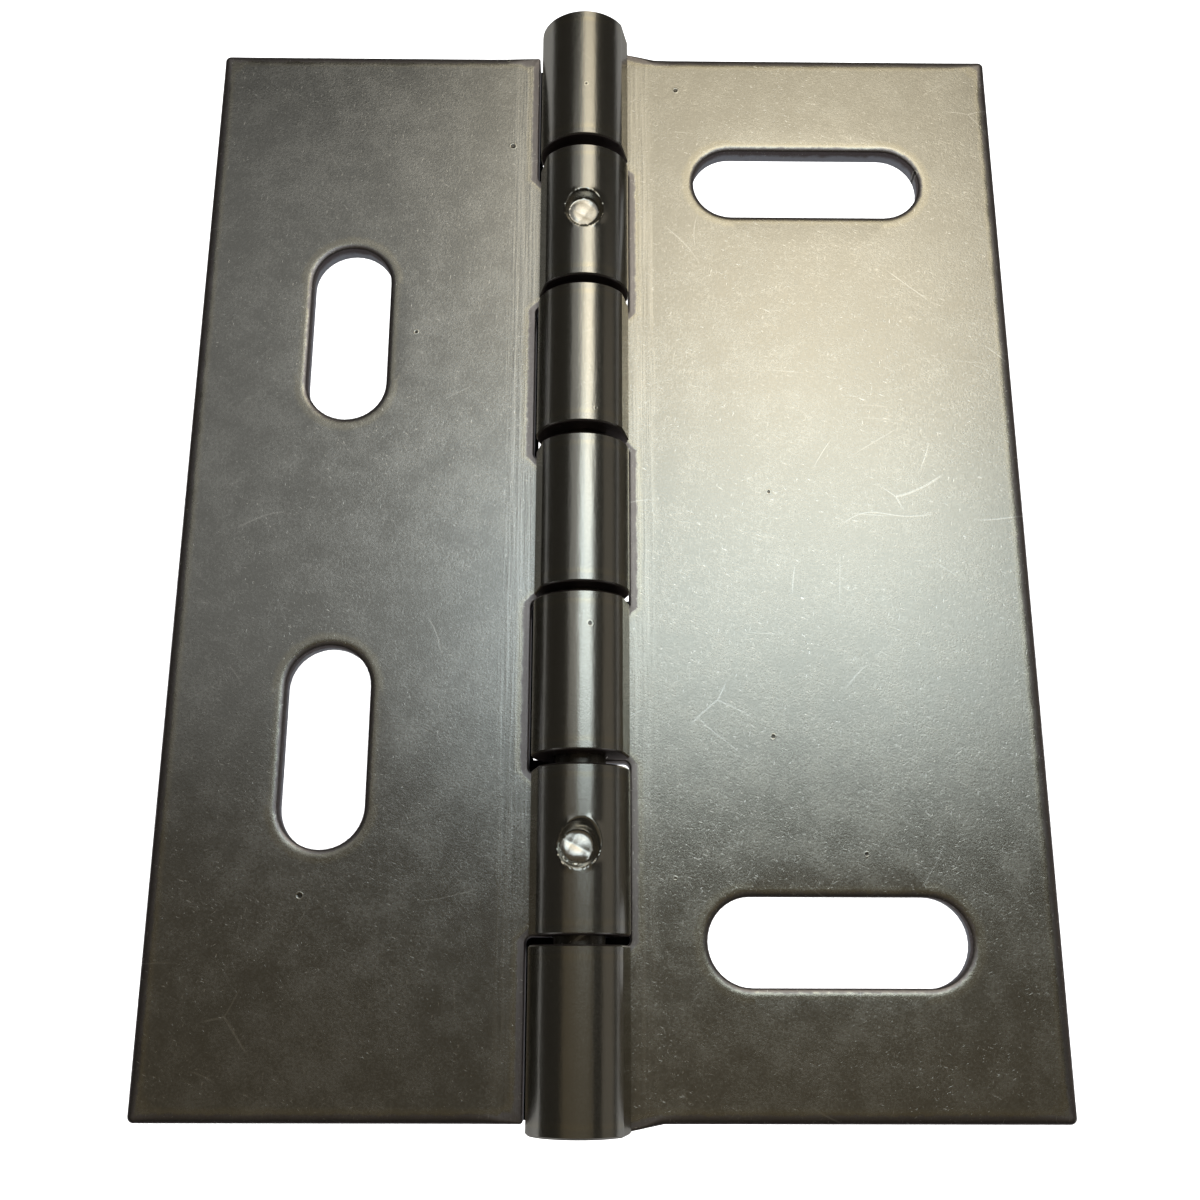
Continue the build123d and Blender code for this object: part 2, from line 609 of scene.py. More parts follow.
class Scratches(Effect):
    """Long thin scratches, some curved and some straight."""

    name = "scratches"
    inputs = {"Amount": 0.5}
    outputs = ("Mask",)

    def wire(self, net: Net, source: bpy.types.NodeOutputs) -> dict[str, bpy.types.NodeSocket]:
        """Borders of bent cells and ridges of a stretched noise, broken up by patches.

        Args:
            net: The group's tree.
            source: The group's inputs.

        Returns:
            What each output gives.
        """
        place = source["Place"]
        bend = net.node("ShaderNodeTexNoise", {"Vector": place, "Scale": 45.0, "Detail": 1.0})
        feeds = {0: bend.outputs["Color"], 1: (0.014, 0.014, 0.0), 2: place}
        bent = net.node("ShaderNodeVectorMath", feeds, operation="MULTIPLY_ADD").outputs[0]
        found: Feed = 0.0
        for turn, shift, slow in ((20, 0.13, 26.0), (75, 0.41, 37.0), (130, 0.77, 31.0), (165, 1.21, 44.0)):
            feeds = {"Vector": net.turned(bent, turn, (1.0, 0.6, 1.0), shift), "Scale": slow}
            kind = {"voronoi_dimensions": "2D", "feature": "DISTANCE_TO_EDGE"}
            away = net.node("ShaderNodeTexVoronoi", feeds, **kind).outputs["Distance"]
            line = net.slope(away, 0.05 * MM * slow, 0.11 * MM * slow, 1.0, 0.0)
            broken = net.noise(net.turned(place, turn, (1.0, 1.0, 1.0), shift + 2.0), 75.0, 1.0)
            gate = net.slope(broken, 0.62, 0.69)
            found = net.math("MAXIMUM", found, net.math("MULTIPLY", line, gate))
        for turn, shift in ((3, 0.9), (94, 1.7), (58, 2.6)):
            ridge = net.noise(net.turned(place, turn, (1.0, 0.028, 1.0), shift), 2600.0, 0.0, 0.5)
            found = net.math("MAXIMUM", found, net.slope(ridge, 0.84, 0.9, 0.0, 0.6))
        return {"Mask": net.math("MULTIPLY", found, source["Amount"])}


class Pits(Effect):
    """A few pits with crushed rims, scattered over the sheet; the colour paints shade inside each pit and a
    highlight on its rim.
    """

    name = "pits"
    inputs = {"Spacing": 0.012, "Share": 0.16}
    outputs = ("Pit", "Rim")

    def wire(self, net: Net, source: bpy.types.NodeOutputs) -> dict[str, bpy.types.NodeSocket]:
        """Spots in the cells of a plane pattern, kept in a share of the cells.

        Args:
            net: The group's tree.
            source: The group's inputs.

        Returns:
            What each output gives.
        """
        feeds = {"Vector": source["Place"], "Scale": net.math("DIVIDE", 1.0, source["Spacing"])}
        cells = net.node("ShaderNodeTexVoronoi", feeds, voronoi_dimensions="2D")
        ragged = net.noise(source["Place"], 1500.0, 2.0)
        chances = net.node("ShaderNodeSeparateColor", {0: cells.outputs["Color"]}).outputs
        kept = net.math("LESS_THAN", chances[0], source["Share"])
        size = net.math("MULTIPLY_ADD", chances[1], 0.022, 0.006)
        away = net.math("MULTIPLY_ADD", ragged, 0.03, net.math("SUBTRACT", cells.outputs["Distance"], 0.015))
        pit = net.slope(net.math("SUBTRACT", away, size), -0.008, 0.004, 1.0, 0.0)
        border = net.math("ABSOLUTE", net.math("SUBTRACT", away, net.math("ADD", size, 0.01)))
        ring = net.slope(border, 0.0, 0.01, 1.0, 0.0)
        return {"Pit": net.math("MULTIPLY", pit, kept), "Rim": net.math("MULTIPLY", ring, kept)}


class FormingStreaks(Effect):
    """Streaks along the pin, left on the sheet beside the knuckles by the bending tool."""

    name = "forming_streaks"
    inputs = {"From": 0.006, "To": 0.011}
    outputs = ("Streak",)

    def wire(self, net: Net, source: bpy.types.NodeOutputs) -> dict[str, bpy.types.NodeSocket]:
        """A band beside the pin, filled with a noise that is drawn out along it.

        Args:
            net: The group's tree.
            source: The group's inputs.

        Returns:
            What each output gives.
        """
        apart = net.node("ShaderNodeSeparateXYZ", {0: source["Place"]}).outputs
        slow = net.noise(net.turned(source["Place"], 0, (0.3, 1.0, 1.0)), 90.0, 2.0)
        across = net.math("ABSOLUTE", apart["X"])
        away = net.math("MULTIPLY_ADD", slow, 0.002, net.math("SUBTRACT", across, 0.001))
        enter = net.slope(away, source["From"], net.math("ADD", source["From"], 0.0006))
        leave = net.slope(away, net.math("SUBTRACT", source["To"], 0.0012), source["To"], 1.0, 0.0)
        band = net.math("MULTIPLY", enter, leave)
        drawn = net.noise(net.turned(source["Place"], 0, (1.0, 0.03, 0.3)), 1900.0, 3.0, 0.6)
        return {"Streak": net.math("MULTIPLY", band, net.slope(drawn, 0.35, 0.7))}


class RollMarksAndHighlight(Effect):
    """Waves of the rolling die drawn out along the pin, and a painted highlight along the crease of the
    curl's end.
    """

    name = "roll_marks_and_highlight"
    inputs = {"Turn": 0.0, "Crease": 0.66}
    outputs = ("Wave", "Line")

    def wire(self, net: Net, source: bpy.types.NodeOutputs) -> dict[str, bpy.types.NodeSocket]:
        """A noise drawn out along the pin, and a painted highlight line at one turn round it.

        Args:
            net: The group's tree.
            source: The group's inputs.

        Returns:
            What each output gives.
        """
        away = net.math("ABSOLUTE", net.math("SUBTRACT", source["Turn"], source["Crease"]))
        wave = net.noise(net.turned(source["Place"], 0, (1.0, 0.16, 1.0)), 520.0, 3.0, 0.6)
        return {"Wave": wave, "Line": net.slope(away, 0.0, 0.004, 0.7, 0.0)}


class ShearBreak(Effect):
    """The lower part of a sheared wall, where the steel broke away instead of being cut."""

    name = "shear_break"
    inputs = {"Height": 0.0017}
    outputs = ("Broken",)

    def wire(self, net: Net, source: bpy.types.NodeOutputs) -> dict[str, bpy.types.NodeSocket]:
        """A ragged border at a height in the sheet.

        Args:
            net: The group's tree.
            source: The group's inputs.

        Returns:
            What each output gives.
        """
        apart = net.node("ShaderNodeSeparateXYZ", {0: source["Place"]}).outputs
        ragged = net.math("MULTIPLY_ADD", net.noise(source["Place"], 700.0, 3.0), 0.0012, apart["Z"])
        high = net.math("ADD", source["Height"], 0.0009)
        return {"Broken": net.slope(ragged, source["Height"], high, 1.0, 0.0)}


class EdgeShadeBand(Effect):
    """Painted shade and painted highlight on the sheared edge's rolled-over band: a ragged dark strip with a
    pale line inside it.
    """

    name = "edge_shade_band"
    inputs = {"Inset": 5.0, "Reach": 1.1}
    outputs = ("Dark", "Line")

    def wire(self, net: Net, source: bpy.types.NodeOutputs) -> dict[str, bpy.types.NodeSocket]:
        """Bands of painted shade and painted highlight by the distance from the edge, made ragged by a noise.

        Args:
            net: The group's tree.
            source: The group's inputs.

        Returns:
            What each output gives.
        """
        ragged = net.math("SUBTRACT", net.noise(source["Place"], 900.0, 3.0, 0.65), 0.5)
        away = net.math("DIVIDE", net.math("MULTIPLY_ADD", ragged, 0.8, source["Inset"]), source["Reach"])
        shade_band = net.slope(away, 0.75, 1.1, 1.0, 0.0)
        line = net.math("MULTIPLY", net.slope(away, 0.85, 1.15), net.slope(away, 1.2, 1.9, 1.0, 0.0))
        return {"Dark": shade_band, "Line": line}


def new_material(name: str, settings: dict[str, Feed]) -> tuple[bpy.types.Material, Net, bpy.types.Node]:
    """Makes a material with a Principled BSDF in it.

    Args:
        name: Name of the material.
        settings: What the shader's inputs are set to, by name.

    Returns:
        The material, its tree and the shader.
    """
    material = bpy.data.materials.new(name)
    material.use_nodes = True
    net = Net(material.node_tree)
    shader = material.node_tree.nodes["Principled BSDF"]
    for socket, value in settings.items():
        net.feed(shader.inputs[socket], value)
    return material, net, shader


@dataclass(frozen=True)
class Traces:
    """What the press and the handling left on a steel, with its painted shade and painted highlights, as
    outputs of one material's nodes.

    Args:
        skin: Cloud, blotch and grain of the sheet.
        pits: Pits and their rims.
        edge: Painted shade band and painted highlight line on the rolled-over sheared edges.
        roll: Waves of the rolling die, and the painted highlight along the crease of the curl's end.
        streak: Streaks of the bending tool.
        scratches: Long scratches.
        nicks: Short nicks.
        fuzz: The finest nicks.
        bright: Nicks and scratches together.
        rolled: 1 on the knuckles.
        flat_edge_shade: The edge's painted shade band, on the flat sheet alone.
    """

    skin: bpy.types.NodeOutputs
    pits: bpy.types.NodeOutputs
    edge: bpy.types.NodeOutputs
    roll: bpy.types.NodeOutputs
    streak: bpy.types.NodeSocket
    scratches: bpy.types.NodeSocket
    nicks: bpy.types.NodeSocket
    fuzz: bpy.types.NodeSocket
    bright: bpy.types.NodeSocket
    rolled: bpy.types.NodeSocket
    flat_edge_shade: bpy.types.NodeSocket


@dataclass(frozen=True)
class SteelFinish:
    """Bare cold-rolled steel, as it comes out of the press.

    Args:
        name: Name of the material.
        pale: Colour of the cleaner patches.
        dull: Colour of the darker patches.
        rolled: Colour of the knuckles, burnished by the rolling die.
        cut: Colour of the sheared walls.
        roughness: Roughness of the flat sheet.
        rolled_roughness: Roughness of the knuckles.
        nicks: Amount of short nicks.
        scratches: Amount of long scratches.
        streaks: Where the forming streaks start and end, in metres from the pin axis.
        relief: Depth that the bump gives, in metres.
    """

    name: str
    pale: Colour
    dull: Colour
    rolled: Colour
    cut: Colour
    roughness: float
    rolled_roughness: float
    nicks: float
    scratches: float
    streaks: Point2
    relief: float = 0.00003

    def material(self) -> bpy.types.Material:
        """Builds the material.

        Returns:
            The new material.
        """
        settings = {"Metallic": 1.0, "Specular Tint": Tint.REFLECTION.value}
        material, net, shader = new_material(self.name, settings)
        place = net.node("ShaderNodeTexCoord").outputs["Object"]
        cut = net.slope(net.mark(Mark.CUT), 0.3, 0.8)
        traces = self.traces(net, place)
        broken = net.effect(ShearBreak(), place)["Broken"]
        net.feed(shader.inputs["Base Color"], self.colour(net, traces, cut, broken))
        net.feed(shader.inputs["Roughness"], self.unevenness(net, traces, cut))
        feeds = {"Strength": 0.5, "Distance": self.relief, "Height": self.height(net, traces)}
        net.feed(shader.inputs["Normal"], net.node("ShaderNodeBump", feeds).outputs[0])
        return material

    def traces(self, net: Net, place: Feed) -> Traces:
        """Adds the effects that the colour, roughness and relief share.

        Args:
            net: The material's tree.
            place: The place that the patterns are read at.

        Returns:
            Their outputs.
        """
        marks = net.effect(Nicks(), place, Amount=self.nicks)
        scratches = net.effect(Scratches(), place, Amount=self.scratches)["Mask"]
        start, stop = self.streaks
        streaks = net.effect(FormingStreaks(), place, From=start, To=stop)
        # Painted shade band and painted highlight line along the sheared edges.
        edge = net.effect(EdgeShadeBand(), place, Inset=net.mark(Mark.INSET))
        rolled = net.slope(net.mark(Mark.TURN), 0.12, 0.25)
        worn = net.slope(rolled, 0.0, 1.0, 1.0, 0.22)
        nicks = net.math("MULTIPLY", marks["Mask"], worn)
        return Traces(
            skin=net.effect(MillSkin(), place),
            pits=net.effect(Pits(), place),
            edge=edge,
            roll=net.effect(RollMarksAndHighlight(), place, Turn=net.mark(Mark.TURN), Crease=(180 + Curl.crease) / 360),
            streak=streaks["Streak"],
            scratches=scratches,
            nicks=nicks,
            fuzz=net.math("MULTIPLY", marks["Fuzz"], worn),
            bright=net.math("MAXIMUM", nicks, net.math("MULTIPLY", scratches, worn)),
            rolled=rolled,
            flat_edge_shade=net.math("MULTIPLY", edge["Dark"], net.math("SUBTRACT", 1.0, rolled)),
        )

    def colour(self, net: Net, traces: Traces, cut: Feed, broken: Feed) -> bpy.types.NodeSocket:
        """Mixes the colour, from the sheet up to the marks, painted shade and painted highlights on top of
        it.

        Args:
            net: The material's tree.
            traces: The steel's traces.
            cut: 1 on the sheared walls.
            broken: 1 on their lower part.

        Returns:
            The colour.
        """
        skin, pits = traces.skin, traces.pits
        grains = (skin["Blotch"], 0.75), (skin["Grain"], 0.75)
        patch = net.total((skin["Cloud"], 0.3), *grains, (traces.fuzz, 0.7))
        streaked = tuple(1.15 * channel for channel in self.pale)
        layers = (
            (net.math("MULTIPLY", traces.streak, 0.6), streaked),
            (net.math("MULTIPLY", traces.rolled, 0.8), self.rolled),
            # Painted highlight: a near-white line along the crease of the curl's end.
            (traces.roll["Line"], Tint.CREASE.value),
            # Painted highlight: a pale line inside the edge's rolled-over band.
            (net.math("MULTIPLY", traces.edge["Line"], 0.3), Tint.EDGE_LINE.value),
            # Painted shade: a dark band on the rolled-over edge of the flat sheet.
            (net.math("MULTIPLY", traces.flat_edge_shade, 0.55), Tint.EDGE_BAND.value),
            # Lower sheared wall tinted pale blue: the break zone, with a painted reflection of the floor.
            (cut, net.mix(broken, self.cut, Tint.BROKEN.value)),
            (net.math("MULTIPLY", traces.bright, 0.9), Tint.SCRATCH.value),
            (net.mark(Mark.PUNCH), Tint.PUNCHED.value),
            # Painted highlight on the pits' rims and painted shade inside the pits.
            (pits["Rim"], Tint.PIT_RIM.value),
            (net.math("MULTIPLY", pits["Pit"], 0.8), Tint.PIT.value),
        )
        colour = net.mix(net.math("SUBTRACT", patch, 0.7), self.dull, self.pale)
        for mask, tint in layers:
            colour = net.mix(mask, colour, tint)
        return colour

    def unevenness(self, net: Net, traces: Traces, cut: Feed) -> bpy.types.NodeSocket:
        """Mixes the roughness.

        Args:
            net: The material's tree.
            traces: The steel's traces.
            cut: 1 on the sheared walls.

        Returns:
            The roughness.
        """
        skin = traces.skin
        uneven = net.total((skin["Blotch"], 0.06), (skin["Grain"], 0.06), (skin["Cloud"], 0.01))
        rough = net.math("ADD", uneven, self.roughness - 0.065)
        smooth = net.total((skin["Grain"], 0.08), (1.0, self.rolled_roughness - 0.04))
        scratched = net.math("MULTIPLY", traces.bright, 0.35)
        for mask, value in ((traces.rolled, smooth), (traces.flat_edge_shade, 0.4), (cut, 0.5), (scratched, 0.34)):
            rough = net.blend_values(mask, rough, value)
        return rough

    def height(self, net: Net, traces: Traces) -> bpy.types.NodeSocket:
        """Adds up the relief.

        Args:
            net: The material's tree.
            traces: The steel's traces.

        Returns:
            The height that the bump is fed.
        """
        height = net.total(
            (traces.skin["Grain"], 0.3),
            (traces.skin["Blotch"], 0.22),
            (traces.fuzz, -0.15),
            (traces.nicks, -0.3),
            (traces.scratches, -0.3),
            (traces.pits["Pit"], -2.0),
            (traces.pits["Rim"], 0.8),
            (traces.streak, 0.5),
        )
        height = net.math("MULTIPLY", height, net.slope(traces.rolled, 0.0, 1.0, 1.0, 0.4))
        waves = net.math("MULTIPLY", traces.roll["Wave"], traces.rolled)
        return net.math("MULTIPLY_ADD", waves, 2.2, height)


@dataclass
class Skin:
    """Points, faces and marks of a mesh while it is built, in millimetres."""

    points: list[Point3] = field(default_factory=list)
    faces: list[tuple[int, ...]] = field(default_factory=list)
    marks: dict[Mark, list[float]] = field(default_factory=lambda: {mark: [] for mark in Mark})

    def add(
        self, point: Point3, inset: float = FAR_INSET, cut: float = 0.0, turn: float = 0.0, punch: float = 0.0
    ) -> int:
        """Adds a point with its marks.

        Args:
            point: Its place.
            inset: Distance from the nearest cut edge.
            cut: 1 on a cut edge.
            turn: Its turn round a knuckle, from 0 to 1.
            punch: 1 on the floor of a punch mark.

        Returns:
            The point's index.
        """
        self.points.append(point)
        for mark, value in zip(Mark, (inset, cut, turn, punch)):
            self.marks[mark].append(value)
        return len(self.points) - 1

    def strip(self, first: Sequence[int], second: Sequence[int], closed: bool = False) -> None:
        """Joins two rows of points with a strip of faces.

        Args:
            first: The first row.
            second: The second row, as long as the first.
            closed: True if the rows are rings.
        """
        count = len(first) if closed else len(first) - 1
        for step in range(count):
            after = (step + 1) % len(first)
            self.faces.append((first[step], first[after], second[after], second[step]))

    def to_object(self, name: str, side: Side, sharp_degrees: float = 34.0) -> bpy.types.Object:
        """Makes the mesh object, mirrored for the narrow side.

        Args:
            name: The object's name.
            side: The side that the leaf lies on.
            sharp_degrees: Edges that turn more than this stay crisp.

        Returns:
            The new object, linked to the scene.
        """
        sign = side.value
        mesh = bpy.data.meshes.new(name)
        places = [(sign * x * MM, y * MM, z * MM) for x, y, z in self.points]
        mesh.from_pydata(places, [], self.faces)
        form = bmesh.new()
        form.from_mesh(mesh)
        bmesh.ops.recalc_face_normals(form, faces=form.faces)
        form.to_mesh(mesh)
        form.free()
        for mark, values in self.marks.items():
            mesh.attributes.new(mark.value, "FLOAT", "POINT").data.foreach_set("value", values)
        mesh.shade_smooth()
        mesh.set_sharp_from_angle(angle=math.radians(sharp_degrees))
        mesh.update()
        piece = bpy.data.objects.new(name, mesh)
        bpy.context.scene.collection.objects.link(piece)
        return piece


def spread(start: float, stop: float, step: float) -> list[float]:
    """Evenly spaced numbers from start to stop, both included, no further apart than step."""
    count = max(1, math.ceil(abs(stop - start) / step - 1e-9))
    return [start + (stop - start) * i / count for i in range(count + 1)]


def through(stops: Sequence[float], steps: Sequence[float]) -> list[float]:
    """Numbers through a row of stops, spaced by its own step between each two stops.

    Args:
        stops: The stops.
        steps: Longest step between each two stops.

    Returns:
        The numbers, stops included.
    """
    numbers = [stops[0]]
    for start, stop, step in zip(stops, stops[1:], steps):
        numbers += spread(start, stop, step)[1:]
    return numbers


def ease(value: float, low: float, high: float) -> float:
    """0 below low, 1 above high, and a smooth rise between them."""
    share = min(1.0, max(0.0, (value - low) / (high - low)))
    return share * share * (3 - 2 * share)


def soft_min(first: float, second: float, blend: float) -> float:
    """The lower of two heights, rounded over where they meet."""
    overlap = max(blend - abs(first - second), 0.0) / blend
    return min(first, second) - overlap * overlap * blend / 4


def rounded(corners: Sequence[Point3], step: float = 2.5) -> list[Point2]:
    """Walks a line of corners, rounding each and dividing its straight runs.

    Args:
        corners: X, Y and radius of each corner; both end corners stay sharp.
        step: Longest stretch of a straight run.

    Returns:
        The points of the walk.
    """
    walk: list[Vector] = [Vector(corners[0][:2])]
    for before, corner, after in zip(corners, corners[1:], corners[2:]):
        at, radius = Vector(corner[:2]), corner[2]
        back = (Vector(before[:2]) - at).normalized()
        ahead = (Vector(after[:2]) - at).normalized()
        half = back.angle(ahead) / 2
        reach = radius / math.tan(half)
        centre = at + (back + ahead).normalized() * radius / math.sin(half)
        first, last = at + back * reach - centre, at + ahead * reach - centre
        start = math.atan2(first.y, first.x)
        turn = (math.atan2(last.y, last.x) - start + math.pi) % (2 * math.pi) - math.pi
        count = max(3, math.ceil(abs(math.degrees(turn)) / 12))
        for i in range(count + 1):
            angle = start + turn * i / count
            walk.append(centre + radius * Vector((math.cos(angle), math.sin(angle))))
    walk.append(Vector(corners[-1][:2]))
    points = [tuple(walk[0])]
    for start, stop in zip(walk, walk[1:]):
        count = max(1, math.ceil((stop - start).length / step))
        points += [tuple(start.lerp(stop, i / count)) for i in range(1, count + 1)]
    return points


def inward(points: Sequence[Point2], closed: bool) -> list[Vector]:
    """Mitred inward directions of a line that has the sheet on its left.

    Args:
        points: The line's points.
        closed: True for a loop.

    Returns:
        A direction for each point; a point moved by w times it lies w away from the line.
    """
    found = []
    count = len(points)
    for i in range(count):
        normals = []
        for start, stop in ((i - 1, i), (i, i + 1)):
            if closed or (start >= 0 and stop < count):
                run = Vector(points[stop % count]) - Vector(points[start % count])
                normals.append(Vector((-run.y, run.x)).normalized())
        if len(normals) == 1:
            normals.append(normals[0])
        found.append((normals[0] + normals[1]) / (1 + normals[0].dot(normals[1])))
    return found


@dataclass(frozen=True)
class EdgeForm:
    """Form of the sheet's edge at one place, in millimetres.

    Args:
        roll: Width of the rolled-over upper edge.
        depth: Depth of the rolled-over upper edge.
        chamfer: Width of the lower chamfer.
        lean: How far the lower part of the wall leans inward.
    """

    roll: float
    depth: float
    chamfer: float
    lean: float
    roll_steps: int = 5

    def profile(self, top: float) -> list[Point3]:
        """Section of the edge from the back of the sheet to its face.

        Args:
            top: Thickness of the sheet.

        Returns:
            Step inward, height and cut mark of each point.
        """
        lean, shoulder = self.lean, top - self.depth
        steps = [(self.chamfer + lean, 0.0, 0.0), (lean, self.chamfer, 1.0)]
        steps += [(0.3 * lean, 0.45 * top, 1.0), (0.0, shoulder, 1.0)]
        for i in range(1, self.roll_steps + 1):
            angle = math.pi / 2 * i / self.roll_steps
            height = shoulder + self.depth * math.sin(angle)
            steps.append((self.roll * (1 - math.cos(angle)), height, 0.5 * (1 - i / self.roll_steps)))
        return steps


@dataclass(frozen=True)
class Knuckle:
    """One tongue of a leaf, rolled round the pin. The leaf lies on its +X side.

    Args:
        sizes: Sizes that the whole hinge shares.
        curl: How the tongue is rolled.
        span: Its ends along the pin, the +Y end first.
        punch: The punch mark on it, if it has one.
    """

    sizes: Sizes
    curl: Curl
    span: Point2
    punch: Punch | None

    @property
    def middle(self) -> float:
        """Its middle along the pin."""
        return sum(self.span) / 2

    def turns(self) -> list[tuple[float, float]]:
        """Steps round the knuckle.

        Returns:
            Degrees from the underside, and how far the section shrinks there.
        """
        crease, flat_end, end = (180 + turn for turn in (self.curl.crease, self.curl.flat_end, self.curl.end))
        stops = [0.0, 140.0, 220.0, crease - 1.2, crease, crease + 1.2]
        stops += [flat_end - 1.2, flat_end, flat_end + 1.2, end - 2.0]
        fine = 1.5 if self.punch else 2.5
        steps = [3.0, fine, 2.5, 1.2, 1.2, 3.0, 1.2, 1.2, 3.0]
        found = [(turn, 0.0) for turn in through(stops, steps)]
        return found + [(end - 0.6, 0.06), (end, 0.2)]

    def rows(self, edge: float) -> list[float]:
        """Places of the lines round the knuckle, between its two ends.

        Args:
            edge: How far the first and the last line stand inside its ends.

        Returns:
            The places along the pin.
        """
        top, bottom = self.span
        if self.punch is None:
            return through([top - edge, top - 1.7, bottom + 1.7, bottom + edge], [0.6, 2.5, 0.6])
        middle = self.middle + self.punch.shift
        stops = [top - edge, top - 1.7, middle + 4.3, middle - 4.5, bottom + 1.7, bottom + edge]
        return through(stops, [0.6, 2.0, 0.17, 2.0, 0.6])

    def place(self, turn: float, shrink: float, height: float, y: float) -> Point3:
        """Place of a point of the sheet once it is rolled up.

        Args:
            turn: Degrees from the underside.
            shrink: How far the section has shrunk at the end of the curl.
            height: Height in the sheet, from its back.
            y: Place along the pin.

        Returns:
            The place, in millimetres.
        """
        sizes, punch = self.sizes, self.punch
        outer = self.curl.outer_radius(turn, sizes.barrel_radius)
        share = height / sizes.sheet
        share = share + shrink / sizes.sheet * (1 - 2 * share)
        radius = outer + (sizes.bore_radius - outer) * share
        angle = math.radians(turn)
        x, z = -radius * math.sin(angle), sizes.barrel_radius - radius * math.cos(angle)
        if punch is not None and punch.reaches(turn):
            z = punch.press(x, y - self.middle, z, height > sizes.sheet / 2, sizes)
        return x, y, z

    def add(self, skin: Skin, turn: float, shrink: float, height: float, y: float) -> int:
        """Adds a point of the round surface, with its marks.

        Args:
            skin: The mesh that is built.
            turn: Degrees from the underside.
            shrink: How far the section has shrunk at the end of the curl.
            height: Height in the sheet, from its back.
            y: Place along the pin.

        Returns:
            The point's index.
        """
        inset = min(self.span[0] - y, y - self.span[1], FAR_INSET)
        if turn == 0.0:
            return skin.add((0.0, y, height), inset)
        mark = 0.0
        if self.punch is not None and height == 0.0 and self.punch.reaches(turn):
            x = -self.sizes.barrel_radius * math.sin(math.radians(turn))
            mark = self.punch.mark(x, y - self.middle)
        return skin.add(self.place(turn, shrink, height, y), inset, 0.0, turn / 360, mark)


